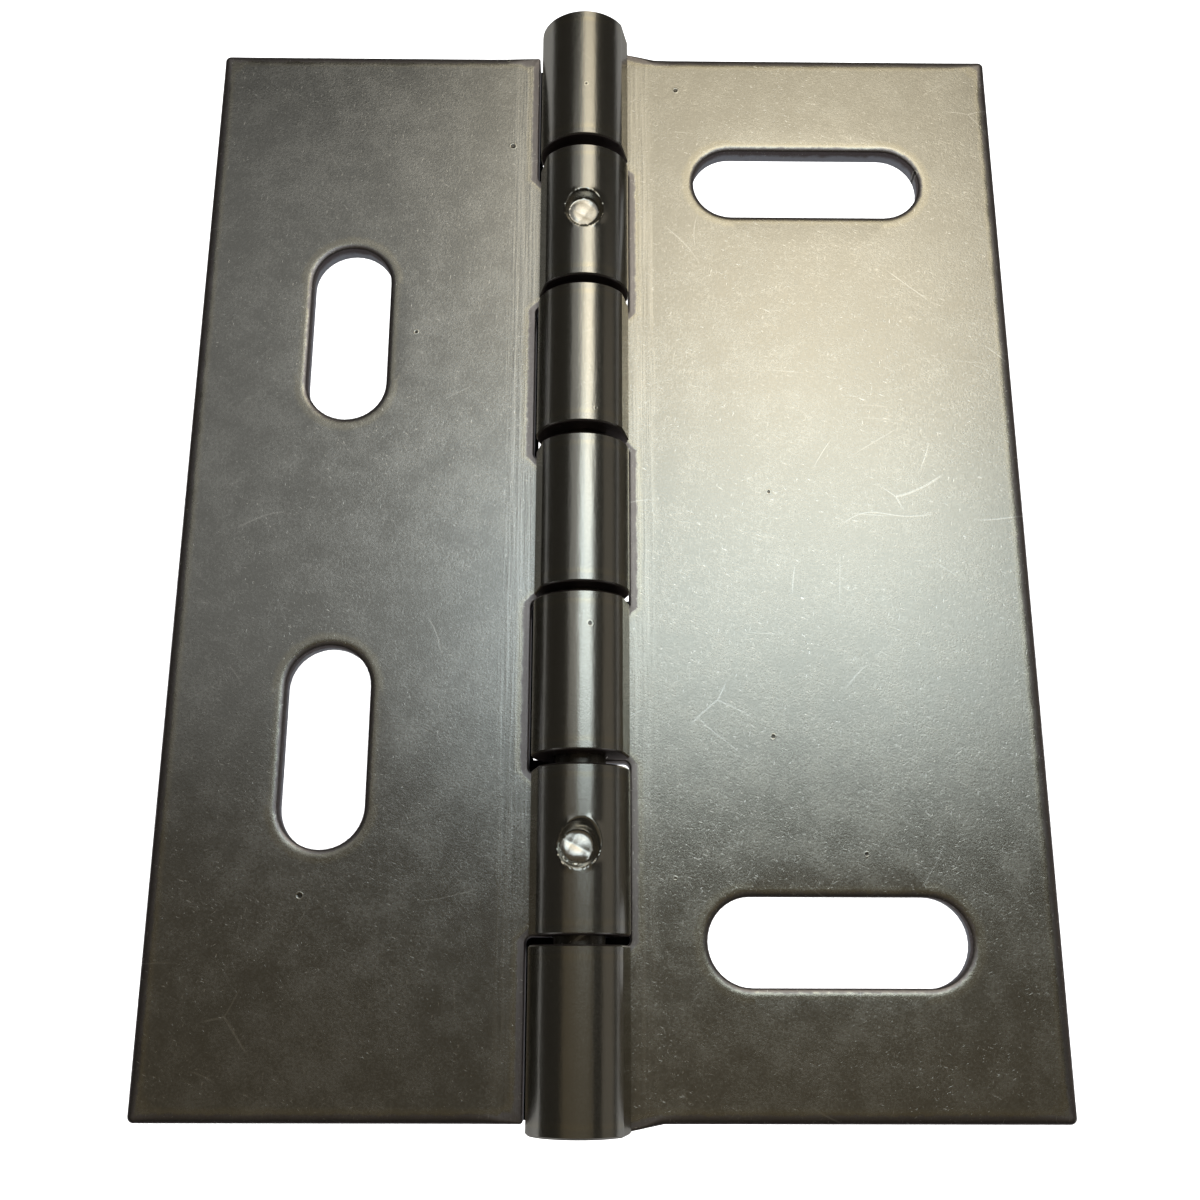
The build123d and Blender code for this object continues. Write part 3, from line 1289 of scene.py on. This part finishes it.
@dataclass
class Leaf:
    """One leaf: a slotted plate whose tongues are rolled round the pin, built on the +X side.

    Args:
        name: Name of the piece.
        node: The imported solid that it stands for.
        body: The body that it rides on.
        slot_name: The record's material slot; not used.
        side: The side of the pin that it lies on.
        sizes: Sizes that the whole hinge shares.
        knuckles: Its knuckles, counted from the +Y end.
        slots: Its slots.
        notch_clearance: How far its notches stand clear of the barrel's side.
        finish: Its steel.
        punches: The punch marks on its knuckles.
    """

    name: str
    node: str
    body: str
    slot_name: str
    side: Side
    sizes: Sizes
    knuckles: tuple[int, ...]
    slots: tuple[Slot, ...]
    notch_clearance: float
    finish: SteelFinish
    punches: tuple[Punch, ...] = ()
    curl: Curl = Curl()
    edge_roll: float = 1.4
    slot_roll: float = 1.0
    tongue_roll: float = 0.26
    past_roll: float = 0.25
    flat_lines: Point2 = (1.7, 3.0)
    grid: float = 4.0
    tip_radius: float = 0.4
    shoulder_radius: float = 0.8
    step_radius: float = 0.35

    @cached_property
    def width(self) -> float:
        """Distance of the free edge from the pin axis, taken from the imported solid."""
        low, high = _box_mm(self.node)
        return max(-low.x, high.x)

    @property
    def notch_edge(self) -> float:
        """Distance of the notches' edge from the pin axis."""
        return self.sizes.barrel_radius + self.notch_clearance

    @cached_property
    def spans(self) -> list[Point2]:
        """Both ends of each knuckle along the pin."""
        return [self.sizes.knuckle_span(number) for number in self.knuckles]

    def build(self) -> bpy.types.Object:
        """Builds the leaf, dresses it and hangs it on its body.

        Returns:
            The leaf's object.
        """
        skin = Skin()
        chains = self.chains()
        walls = [self.edge_wall(skin, chain, False) for chain in chains]
        face: list[int] = []
        back: list[int] = []
        for i, (number, span) in enumerate(zip(self.knuckles, self.spans)):
            face += [column[-1] for column in walls[i]]
            back += [column[0] for column in walls[i]]
            ends = walls[i][-1], walls[(i + 1) % len(walls)][0]
            punch = next((mark for mark in self.punches if mark.number == number), None)
            outer, inner = self.roll_up(skin, Knuckle(self.sizes, self.curl, span, punch), *ends)
            face += inner
            back += outer
        loops = [(face, back)]
        for slot in self.slots:
            columns = self.edge_wall(skin, slot.outline(), True)
            loops.append(([column[-1] for column in columns], [column[0] for column in columns]))
        inner_places = self.flat_places(chains)
        self.fill(skin, [face for face, _ in loops], inner_places, self.sizes.sheet, True)
        self.fill(skin, [back for _, back in loops], inner_places, 0.0, False)
        piece = skin.to_object(self.name, self.side)
        piece.data.materials.append(self.finish.material())
        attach(piece, self.body)
        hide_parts(self.node)
        log.info("%s: %d faces on %s", self.name, len(piece.data.polygons), self.body)
        return piece

    def chains(self) -> list[list[Point2]]:
        """Outlines between the tongues, anticlockwise, each from one tongue to the next at the pin axis.

        Returns:
            The free outside first, then the notches from the +Y end down.
        """
        sizes, spans = self.sizes, self.spans
        edge, half, radius = self.notch_edge, sizes.leaf_half, sizes.notch_radius
        corner = sizes.corner_radius
        first, last = spans[0][0], spans[-1][1]
        outside = [(0.0, last, 0.0), *self.end_corners(last), (self.width, -half, corner)]
        outside += [(self.width, half, corner), *reversed(self.end_corners(first)), (0.0, first, 0.0)]
        found = [rounded(outside)]
        for above, below in zip(spans, spans[1:]):
            notch = [(edge, above[1], radius), (edge, below[0], radius)]
            found.append(rounded([(0.0, above[1], 0.0), *notch, (0.0, below[0], 0.0)]))
        return found

    def end_corners(self, end: float) -> list[Point3]:
        """Corners of the outline between a knuckle at the end of the pin and the leaf's own end.

        Args:
            end: The knuckle's outer end along the pin.

        Returns:
            X, Y and radius of both corners, the one nearest the pin first.
        """
        edge, half = self.notch_edge, self.sizes.leaf_half
        side = half if end > 0 else -half
        if abs(end) > half:
            return [(edge, end, self.tip_radius), (self.sizes.shoulder_edge, side, self.shoulder_radius)]
        return [(edge, end, self.sizes.notch_radius), (edge, side, self.step_radius)]

    def rim_form(self, x: float, y: float, closed: bool) -> EdgeForm:
        """Form of the sheet's edge at a place on an outline.

        Args:
            x: Distance from the pin axis.
            y: Place along the pin.
            closed: True on the rim of a slot.

        Returns:
            The form, which wanders a little along the edge.
        """
        wander = 0.09 * math.sin(0.83 * x + 1.31 * y) + 0.06 * math.sin(2.1 * y - 1.7 * x)
        if closed:
            return EdgeForm(self.slot_roll + 0.5 * wander, depth=0.36, chamfer=0.1, lean=0.1)
        free = ease(x, self.notch_edge + 0.6, self.notch_edge + 7)
        corner = math.hypot(self.width - x, self.sizes.leaf_half - abs(y))
        widest = min(self.edge_roll + wander, 0.7 + 0.15 * max(0.0, corner - 1))
        roll = self.tongue_roll + free * (widest - self.tongue_roll)
        return EdgeForm(roll, depth=0.24 + 0.2 * free, chamfer=0.22 - 0.12 * free, lean=0.08 * free)

    def edge_wall(self, skin: Skin, line: Sequence[Point2], closed: bool) -> list[list[int]]:
        """Builds the cut wall along an outline.

        Args:
            skin: The mesh that is built.
            line: The outline, with the sheet on its left.
            closed: True for the rim of a slot.

        Returns:
            A column of points, from back to face, for each point of the outline.
        """
        columns = []
        for (x, y), way in zip(line, inward(line, closed)):
            extra = 0.5 if closed else 0.0
            column = []
            for step, z, cut in self.rim_form(x, y, closed).profile(self.sizes.sheet):
                column.append(skin.add((x + way.x * step, y + way.y * step, z), step + extra, cut))
            columns.append(column)
        for before, after in zip(columns, columns[1:]):
            skin.strip(before, after)
        if closed:
            skin.strip(columns[0], columns[-1])
        return columns

    def inset_at(self, x: float, y: float) -> float:
        """Distance of a place on the flat sheet from its nearest cut edge; below zero outside the sheet.

        Args:
            x: Distance from the pin axis.
            y: Place along the pin.

        Returns:
            The distance.
        """
        sizes, spans = self.sizes, self.spans
        half, edge = sizes.leaf_half, self.notch_edge
        found = [self.width - x, *(slot.gap(x, y) for slot in self.slots)]
        notches = [(below[0], above[1]) for above, below in zip(spans, spans[1:])]
        for end, sign in ((spans[0][0], 1), (spans[-1][1], -1)):
            if abs(end) < half:
                notches.append((end, 2 * half) if sign > 0 else (-2 * half, end))
            found.append((abs(end) if x < edge and abs(end) > half else half) - sign * y)
        for low, high in notches:
            beside, away = max(low - y, y - high), x - edge
            outside = math.hypot(max(0.0, away), max(0.0, beside))
            found.append(outside if outside > 0 else max(away, beside))
        return min(found)

    def flat_places(self, chains: Sequence[Sequence[Point2]]) -> list[Point3]:
        """Places inside the flat of the sheet that keep its shading flat and carry its marks.

        Args:
            chains: The outlines between the tongues.

        Returns:
            X, Y and distance from the nearest cut edge of each place.
        """
        places = []
        outlines = [(chain, False) for chain in chains] + [(slot.outline(), True) for slot in self.slots]
        for line, closed in outlines:
            steps = list(zip(line, inward(line, closed)))
            for (x, y), way in steps if closed else steps[1:-1]:
                roll = self.rim_form(x, y, closed).roll
                for inset in (roll + self.past_roll, *self.flat_lines):
                    place = (x + way.x * inset, y + way.y * inset)
                    found = self.inset_at(*place)
                    if found > 0.93 * inset and place[0] > 0.3:
                        places.append((*place, found))
        half = self.sizes.leaf_half
        for row, y in enumerate(spread(-half, half, self.grid)):
            for x in spread(0.25 * self.grid, self.width, self.grid):
                shifted = x + (0.5 * self.grid if row % 2 else 0.0)
                found = self.inset_at(shifted, y)
                if found > 3.4:
                    places.append((shifted, y, found))
        return places

    def fill(
        self,
        skin: Skin,
        loops: Sequence[Sequence[int]],
        places: Sequence[Point3],
        height: float,
        upward: bool,
    ) -> None:
        """Closes the face or the back of the plate with triangles.

        A triangle whose corners all lie on one slot's rim is inside that slot, and is left out.

        Args:
            skin: The mesh that is built.
            loops: The outline and the slots' rims, as indices of points.
            places: Places inside the flat.
            height: Height of the flat.
            upward: True for the face.
        """
        index: list[int] = []
        edges: list[tuple[int, int]] = []
        for loop in loops:
            start = len(index)
            index += loop
            edges += [(start + i, start + (i + 1) % len(loop)) for i in range(len(loop))]
        index += [skin.add((x, y, height), min(inset, FAR_INSET)) for x, y, inset in places]
        flat = [Vector(skin.points[i][:2]) for i in index]
        rims = [set(loop) for loop in loops[1:]]
        found = delaunay_2d_cdt(flat, edges, [], 1, WELD)
        for face in found[2]:
            corners = [index[found[3][corner][0]] for corner in face]
            if not any(rim.issuperset(corners) for rim in rims):
                skin.faces.append(tuple(corners) if upward else tuple(reversed(corners)))

    def roll_up(
        self, skin: Skin, knuckle: Knuckle, first: Sequence[int], last: Sequence[int]
    ) -> tuple[list[int], list[int]]:
        """Rolls a tongue round the pin into a knuckle.

        Args:
            skin: The mesh that is built.
            knuckle: The knuckle.
            first: Column of points at the +Y end, below the pin axis.
            last: Column of points at the -Y end.

        Returns:
            Points of the back and of the face below the pin axis, between the two columns.
        """
        top, bottom = knuckle.span
        rows = knuckle.rows(self.past_roll + self.tongue_roll)
        steps = self.rim_form(0.0, top, False).profile(self.sizes.sheet)
        rings: list[list[int]] = []
        start: tuple[list[int], list[int]] = ([], [])
        for turn, shrink in knuckle.turns():
            columns = []
            for end, sign, given in ((top, -1, first), (bottom, 1, last)):
                column = list(given)
                if turn > 0:
                    column = []
                    for step, z, cut in steps:
                        place = knuckle.place(turn, shrink, z, end + sign * step)
                        column.append(skin.add(place, step, cut, turn / 360))
                columns.append(column)
            outer = [knuckle.add(skin, turn, shrink, 0.0, y) for y in rows]
            inner = [knuckle.add(skin, turn, shrink, self.sizes.sheet, y) for y in rows]
            if not rings:
                start = outer, inner
            a_side, b_side = columns
            rings.append([a_side[0], *outer, *b_side, *reversed(inner), *reversed(a_side[1:])])
        for before, after in zip(rings, rings[1:]):
            skin.strip(after, before, closed=True)
        skin.strip([a_side[0], *outer, b_side[0]], [a_side[-1], *inner, b_side[-1]])
        skin.faces += [tuple(a_side), tuple(b_side)]
        return start


@dataclass
class Pin:
    """The rod through the knuckles, with a socket for each stake.

    Args:
        sizes: Sizes that the whole hinge shares.
        sockets: The punch marks whose stakes it takes, with the middle of each knuckle.
        finish: Its steel.
        chamfer: Width of the chamfers at its ends.
        dent: Radius and depth of the hollow in the middle of each end.
        socket_reach: How far the finer rows reach on each side of a stake.
    """

    sizes: Sizes
    sockets: tuple[tuple[Punch, float], ...]
    finish: SteelFinish
    chamfer: float = 0.5
    dent: Point2 = (0.9, 0.02)
    socket_reach: float = 2.2

    def build(self) -> bpy.types.Object:
        """Builds the pin, dresses it and hangs it on the narrow leaf's body.

        Returns:
            The pin's object.
        """
        skin = Skin()
        sizes = self.sizes
        turns = through([0.0, 145.0, 215.0, 355.0], [5.0, 1.6, 5.0])
        half = sizes.pin_half
        stops, steps = [half - self.chamfer], []
        for punch, middle in self.sockets:
            stops += [middle + self.socket_reach, middle - self.socket_reach]
            steps += [3.0, 0.16]
        rows = through([*stops, self.chamfer - half], [*steps, 3.0])
        dent, depth = self.dent
        profile = [(half, dent), (half, sizes.pin_radius - self.chamfer)]
        profile += [(y, sizes.pin_radius) for y in rows]
        profile += [(-half, sizes.pin_radius - self.chamfer), (-half, dent)]
        rings = []
        for y, radius in profile:
            edge = min(half - abs(y), FAR_INSET)
            rings.append([skin.add(self.place(turn, radius, y), edge) for turn in turns])
        for before, after in zip(rings, rings[1:]):
            skin.strip(before, after, closed=True)
        for ring, y, flip in ((rings[0], half - depth, False), (rings[-1], depth - half, True)):
            middle = skin.add((0.0, y, sizes.barrel_radius), 3.0)
            for i, corner in enumerate(ring):
                face = (middle, ring[(i + 1) % len(ring)], corner)
                skin.faces.append(tuple(reversed(face)) if flip else face)
        piece = skin.to_object("steel_pin", Side.WIDE)
        piece.data.materials.append(self.finish.material())
        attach(piece, "fixed_leaf")
        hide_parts("hinge_pin")
        log.info("steel_pin: %d faces on fixed_leaf", len(piece.data.polygons))
        return piece

    def place(self, turn: float, radius: float, y: float) -> Point3:
        """Place of a point on the pin, pressed in where a stake stands in it.

        Args:
            turn: Degrees from the underside.
            radius: Distance from the pin axis.
            y: Place along the pin.

        Returns:
            The place, in millimetres.
        """
        angle = math.radians(turn)
        x, z = -radius * math.sin(angle), self.sizes.barrel_radius - radius * math.cos(angle)
        for punch, middle in self.sockets:
            if z > self.sizes.barrel_radius and radius == self.sizes.pin_radius:
                z = min(z, punch.cone(x, y - middle, self.sizes, punch.clearance))
        return x, y, z


@dataclass(frozen=True)
class Panel:
    """A soft light panel over the floor, which shines straight down unless it is tilted.

    Args:
        name: Its name.
        middle: Its middle, in metres.
        size: Its width along X and Y, in metres.
        radiance: How bright it looks.
        colour: Its colour.
        tilt: Turns about X and Y in degrees, from looking straight down.
        floor_only: True if it lights the floor alone, False if it lights all but the floor.
    """

    name: str
    middle: Point3
    size: Point2
    radiance: float
    colour: Colour
    tilt: Point2 = (0.0, 0.0)
    floor_only: bool = False

    def hang(self, floor: bpy.types.Object) -> None:
        """Adds the light to the scene.

        Args:
            floor: The floor, which some panels light alone and the others leave out.
        """
        light = bpy.data.lights.new(self.name, "AREA")
        light.shape = "RECTANGLE"
        light.size, light.size_y = self.size
        light.energy = self.radiance * math.pi * self.size[0] * self.size[1]
        light.color = self.colour
        lamp = bpy.data.objects.new(self.name, light)
        lamp.location = self.middle
        lamp.rotation_euler = (math.radians(self.tilt[0]), math.radians(self.tilt[1]), 0.0)
        bpy.context.scene.collection.objects.link(lamp)
        choice = bpy.data.collections.new(self.name + "_choice")
        choice.objects.link(floor)
        lamp.light_linking.receiver_collection = choice
        choice.collection_objects[0].light_linking.link_state = "INCLUDE" if self.floor_only else "EXCLUDE"


@dataclass
class Studio:
    """The pale floor, the soft light and the camera.

    Args:
        panels: The light panels.
        air: Light of the room round the steel; to the eye the room is white.
        gaps: Places of the gaps between the knuckles along the pin, in millimetres.
        focal: Focal length in pixels of the photograph.
        turn: Turns of the camera about X, Y and Z, in degrees.
        shift: Place of the hinge's origin before the camera, in millimetres.
        floor_half: Half the floor's width, in millimetres.
        floor_height: Height of the floor, in millimetres.
        shade_sheet_strip: Left side, right side and half length of the black strip of painted shade, in
            millimetres.
        shade_sheet_reach: Right side of the black sheet of painted shade at the odd and the even gaps, in
            millimetres.
        shade_sheet_half: How far the black sheet reaches on each side of a gap's middle, in millimetres.
        shade_sheet_height: Height of the black sheets, in millimetres.
    """

    panels: tuple[Panel, ...]
    air: Colour
    gaps: tuple[float, ...]
    focal: float = 1332.24
    turn: Point3 = (-15.99, 0.54, -0.14)
    shift: Point3 = (-2.42, 8.58, -182.76)
    floor_half: float = 1100.0
    floor_height: float = -58.0
    shade_sheet_strip: Point3 = (-8.5, -6.2, 74.8)
    shade_sheet_reach: Point2 = (0.9, 7.4)
    shade_sheet_half: float = 1.3
    shade_sheet_height: float = -0.05

    def build(self) -> None:
        """Builds the floor, the black sheets of painted shade, the lights and the camera."""
        floor = self.lay_floor()
        self.lay_shade_sheet()
        for panel in self.panels:
            panel.hang(floor)
        world = bpy.data.worlds.new("room")
        world.use_nodes = True
        net = Net(world.node_tree)
        seen = net.node("ShaderNodeLightPath").outputs["Is Camera Ray"]
        ground = world.node_tree.nodes["Background"]
        net.feed(ground.inputs["Color"], net.mix(seen, self.air, WHITE))
        bpy.context.scene.world = world
        bpy.context.scene.view_settings.view_transform = "Standard"
        self.set_camera()

    def lay_floor(self) -> bpy.types.Object:
        """Lays the floor, low enough for the wide leaf to hang straight down over it.

        Returns:
            The floor, white to the eye and grey to the steel, as the photograph's ground is a white cut-out.
        """
        material, net, shader = new_material("pale_floor", {"Roughness": 0.9, "Specular IOR Level": 0.1})
        seen = net.node("ShaderNodeLightPath").outputs["Is Camera Ray"]
        net.feed(shader.inputs["Base Color"], net.mix(seen, (0.1, 0.1, 0.1), (0.86, 0.86, 0.86)))
        half = self.floor_half
        return self.lay("floor", [(-half, -half, half, half)], self.floor_height, material)

    def lay_shade_sheet(self) -> None:
        """Lays black sheets as painted shade just below the gaps between the knuckles and along the narrow
        leaf's notches.

        It reaches further at every second gap, where the camera looks down through the wide leaf's notch.
        """
        # The black sheets are painted shade, standing for the shade that falls in the gaps and the notch
        # slit.
        settings = {"Base Color": (0.012, 0.011, 0.011), "Roughness": 1.0, "Specular IOR Level": 0.0}
        shade_sheet, _, _ = new_material("painted_shade_sheet", settings)
        left, right, end = self.shade_sheet_strip
        flats = [(left, -end, right, end)]
        for i, gap in enumerate(self.gaps):
            flats.append((right, gap - self.shade_sheet_half, self.shade_sheet_reach[i % 2], gap + self.shade_sheet_half))
        self.lay("shade_sheet", flats, self.shade_sheet_height, shade_sheet)

    def lay(
        self,
        name: str,
        flats: Sequence[tuple[float, float, float, float]],
        height: float,
        material: bpy.types.Material,
    ) -> bpy.types.Object:
        """Lays level rectangles that aren't part of the hinge.

        Args:
            name: Name of the object.
            flats: Lowest X, lowest Y, highest X and highest Y of each rectangle, in millimetres.
            height: Their height, in millimetres.
            material: Their material.

        Returns:
            The rectangles as one object.
        """
        points, faces = [], []
        for left, front, right, rear in flats:
            faces.append(tuple(range(len(points), len(points) + 4)))
            corners = [(left, front), (right, front), (right, rear), (left, rear)]
            points += [(x * MM, y * MM, height * MM) for x, y in corners]
        mesh = bpy.data.meshes.new(name)
        mesh.from_pydata(points, [], faces)
        mesh.materials.append(material)
        laid = bpy.data.objects.new(name, mesh)
        bpy.context.scene.collection.objects.link(laid)
        laid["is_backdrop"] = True
        return laid

    def set_camera(self) -> None:
        """Sets the camera at the photograph's angle."""
        x, y, z = (math.radians(angle) for angle in self.turn)
        spin = Matrix.Rotation(x, 3, "X") @ Matrix.Rotation(y, 3, "Y") @ Matrix.Rotation(z, 3, "Z")
        back = spin.transposed()
        data = bpy.data.cameras.new("camera")
        data.sensor_width = SENSOR
        data.lens = self.focal * SENSOR / PHOTO_PIXELS
        data.clip_start, data.clip_end = 0.005, 20.0
        camera = bpy.data.objects.new("camera", data)
        place = Matrix.Translation(-(back @ (Vector(self.shift) * MM)))
        camera.matrix_world = place @ back.to_4x4()
        bpy.context.scene.collection.objects.link(camera)
        bpy.context.scene.camera = camera


# A darker copy of the wide leaf's steel: the darker tone is painted shade, for the leaf that lies on the
# darker side of the light.
SHADED_NARROW_STEEL = SteelFinish(
    name="narrow_leaf_steel",
    pale=(0.555, 0.555, 0.54),
    dull=(0.395, 0.395, 0.38),
    rolled=(0.60, 0.59, 0.55),
    cut=(0.26, 0.225, 0.235),
    roughness=0.25,
    rolled_roughness=0.23,
    nicks=0.35,
    scratches=0.32,
    streaks=(0.0062, 0.0112),
)
WIDE_STEEL = SteelFinish(
    name="wide_leaf_steel",
    pale=(0.62, 0.60, 0.545),
    dull=(0.46, 0.445, 0.40),
    rolled=(0.60, 0.585, 0.54),
    cut=(0.27, 0.23, 0.235),
    roughness=0.25,
    rolled_roughness=0.23,
    nicks=0.5,
    scratches=0.42,
    streaks=(0.0064, 0.0104),
)
PIN_STEEL = SteelFinish(
    name="pin_steel",
    pale=(0.24, 0.23, 0.21),
    dull=(0.14, 0.135, 0.125),
    rolled=(0.2, 0.19, 0.18),
    cut=(0.2, 0.19, 0.18),
    roughness=0.36,
    rolled_roughness=0.3,
    nicks=0.3,
    scratches=0.4,
    streaks=(0.5, 0.51),
)

PANELS = (
    Panel("wide_panel", (0.0, 0.285, 0.57), (0.64, 0.44), 0.26, (1.0, 0.99, 0.94)),
    Panel("middle_panel", (0.095, 0.33, 0.585), (0.41, 0.52), 0.20, (1.0, 0.99, 0.92)),
    Panel("warm_panel", (0.13, 0.485, 0.6), (0.34, 0.44), 0.72, (1.0, 0.88, 0.64)),
    Panel("cool_panel", (0.12, 0.165, 0.6), (0.33, 0.20), 1.12, (0.76, 0.93, 1.0)),
    Panel("core_panel", (0.150, 0.31, 0.615), (0.17, 0.24), 0.75, (1.0, 0.91, 0.74)),
    Panel("low_panel", (-0.05, -0.2, 0.6), (0.8, 0.5), 0.063, (1.0, 0.80, 0.50)),
    Panel("right_panel", (1.2, 0.2, 0.5), (0.7, 1.2), 0.10, (1.0, 0.9, 0.75), (0.0, 67.0)),
    Panel("left_floor_panel", (-0.92, 0.0, 0.72), (0.35, 2.4), 17.0, WHITE, (0.0, -52.0), floor_only=True),
    Panel("right_floor_panel", (0.92, 0.0, 0.72), (0.35, 2.4), 17.0, WHITE, (0.0, 52.0), floor_only=True),
)


def main() -> None:
    """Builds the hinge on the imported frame, and the studio round it."""
    logging.basicConfig(level=logging.INFO, format="%(name)s: %(message)s")
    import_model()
    packed_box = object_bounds()
    sizes = Sizes.from_frame()
    punches = (
        Punch(
            number=2, stretch=1.0, lean=0.0, shift=0.1, crumpled=0.3,
            floor_shift=(0.0, 0.0), floor_slope=(0.08, 0.0), seed=0.4,
        ),
        Punch(
            number=6, stretch=1.04, lean=0.1, shift=0.45, crumpled=0.45,
            floor_shift=(0.4, -0.4), floor_slope=(0.08, -0.13), seed=1.9,
        ),
    )
    narrow_slots = tuple(Slot(x=33.0, y=y, length=26.5, along_pin=True) for y in (29.4, -29.4))
    wide_slots = tuple(Slot(x=32.4, y=y, length=33.0, along_pin=False) for y in (53.8, -53.8))
    narrow = Leaf(
        "narrow_leaf_sheet", "narrow_leaf", "fixed_leaf", "narrow_leaf_steel", Side.NARROW, sizes,
        knuckles=(2, 4, 6), slots=narrow_slots, notch_clearance=0.45, finish=SHADED_NARROW_STEEL, punches=punches,
    )
    wide = Leaf(
        "wide_leaf_sheet", "wide_leaf", "swinging_leaf", "wide_leaf_steel", Side.WIDE, sizes,
        knuckles=(1, 3, 5, 7), slots=wide_slots, notch_clearance=0.05, finish=WIDE_STEEL,
    )
    sockets = tuple((punch, sum(sizes.knuckle_span(punch.number)) / 2) for punch in punches)
    pin = Pin(sizes, sockets, PIN_STEEL)
    for part in (narrow, wide, pin):
        part.build()
    gaps = tuple(sizes.parting(number) for number in range(1, sizes.knuckle_count))
    Studio(PANELS, air=(0.024, 0.022, 0.018), gaps=gaps).build()
    boxes = {"packed": packed_box, "dressed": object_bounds()}
    {name: [list(corner) for corner in box] for name, box in boxes.items()}


if __name__ == "__main__":
    main()
